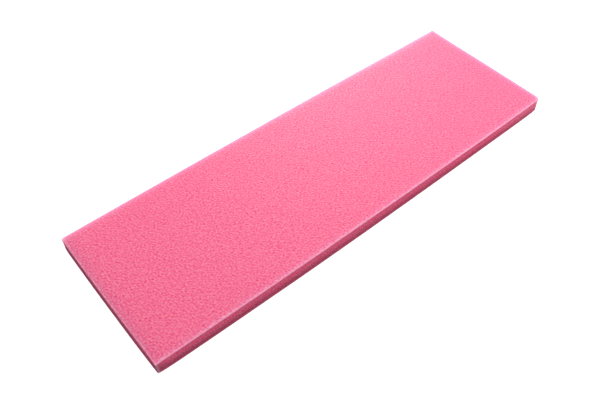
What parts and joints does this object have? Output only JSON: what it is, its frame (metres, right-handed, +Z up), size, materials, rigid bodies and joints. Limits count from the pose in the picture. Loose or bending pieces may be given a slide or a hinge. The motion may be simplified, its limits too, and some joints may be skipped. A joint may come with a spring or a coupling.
{
  "type": "nail buffer block",
  "caption": "Thin flat rectangular foam pad with a fine abrasive sheet glued to each face, used by hand to smooth and shine nails.",
  "frame": {"origin": "centre of the underside, on the surface that the pad lies on", "axes": "+X along the pad's length, +Y across its width, +Z up through its thickness"},
  "size_m": [0.09, 0.03, 0.003],
  "materials": {
    "grit": "fine abrasive grain in pink resin, matte, mottled, slightly orange-peeled",
    "backing": "pale pink latex paper, seen only as a thin cut edge",
    "glue": "pressure-sensitive glue film, slightly glossy, seen only as a fine dark line",
    "foam": "die-cut closed-cell pink foam, matte, with small opened cells on the cut sides"
  },
  "bodies": {
    "root": {"lower_grit_coat": "grit", "lower_backing_sheet": "backing", "lower_glue_film": "glue", "foam_core": "foam", "upper_glue_film": "glue", "upper_backing_sheet": "backing", "upper_grit_coat": "grit"}
  },
  "joints": []
}
